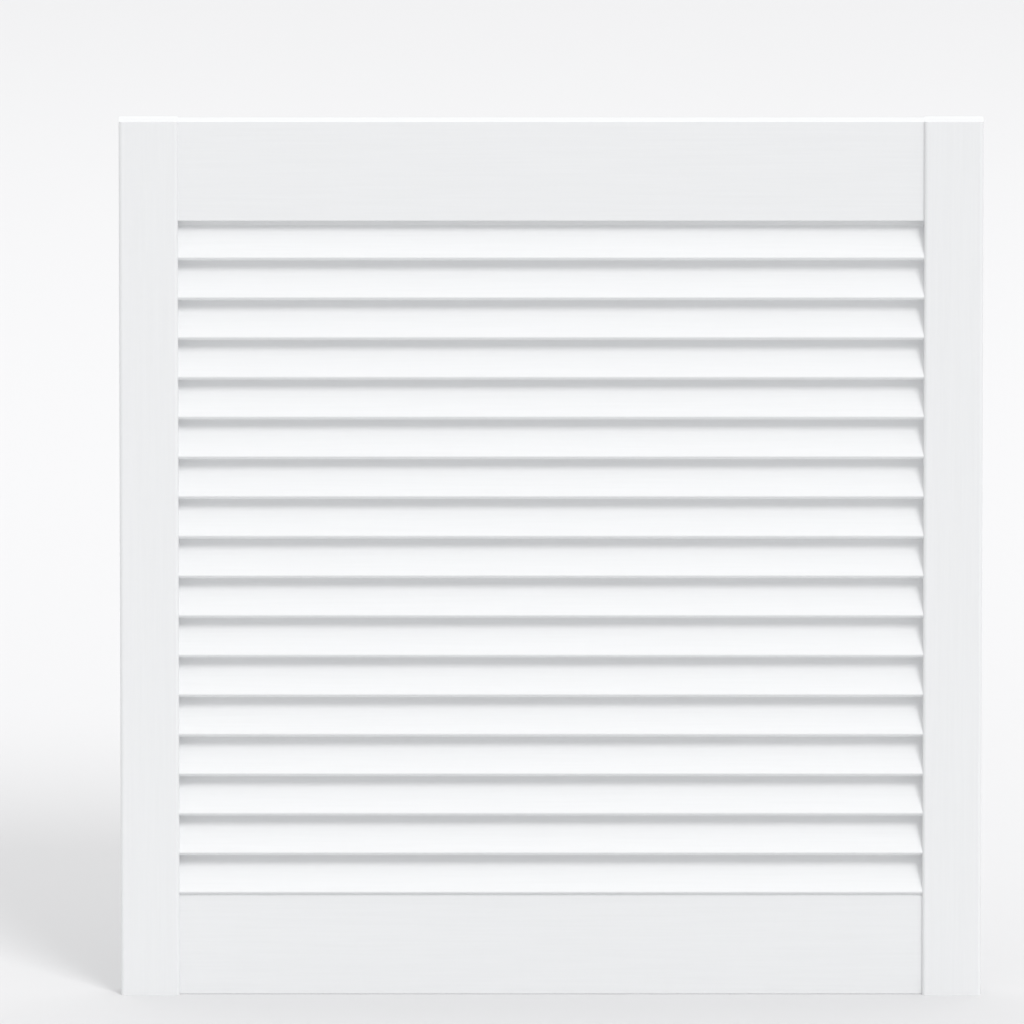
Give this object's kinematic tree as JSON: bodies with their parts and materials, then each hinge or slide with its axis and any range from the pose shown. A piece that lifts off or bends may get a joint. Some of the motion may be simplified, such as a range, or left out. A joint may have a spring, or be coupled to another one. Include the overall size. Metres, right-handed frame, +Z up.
{
  "type": "louvred cabinet door",
  "caption": "White painted timber cabinet door: a frame of stiles and rails around fixed sloping slats that let air through.",
  "frame": {"origin": "middle of the hinge edge, which is the flat outer face of the left stile seen from the front", "axes": "+X across the door from the hinge edge, +Y from the front face to the back, +Z up"},
  "size_m": [0.594, 0.021, 0.615],
  "materials": {
    "stile_paint": "white satin paint on pine",
    "rail_paint": "white satin paint on pine",
    "slat_paint": "white satin paint on pine"
  },
  "bodies": {
    "root": {"stile_left": "stile_paint", "stile_right": "stile_paint", "rail_top": "rail_paint", "rail_bottom": "rail_paint", "slat_01": "slat_paint", "slat_02": "slat_paint", "slat_03": "slat_paint", "slat_04": "slat_paint", "slat_05": "slat_paint", "slat_06": "slat_paint", "slat_07": "slat_paint", "slat_08": "slat_paint", "slat_09": "slat_paint", "slat_10": "slat_paint", "slat_11": "slat_paint", "slat_12": "slat_paint", "slat_13": "slat_paint", "slat_14": "slat_paint", "slat_15": "slat_paint", "slat_16": "slat_paint", "slat_17": "slat_paint"}
  },
  "joints": []
}
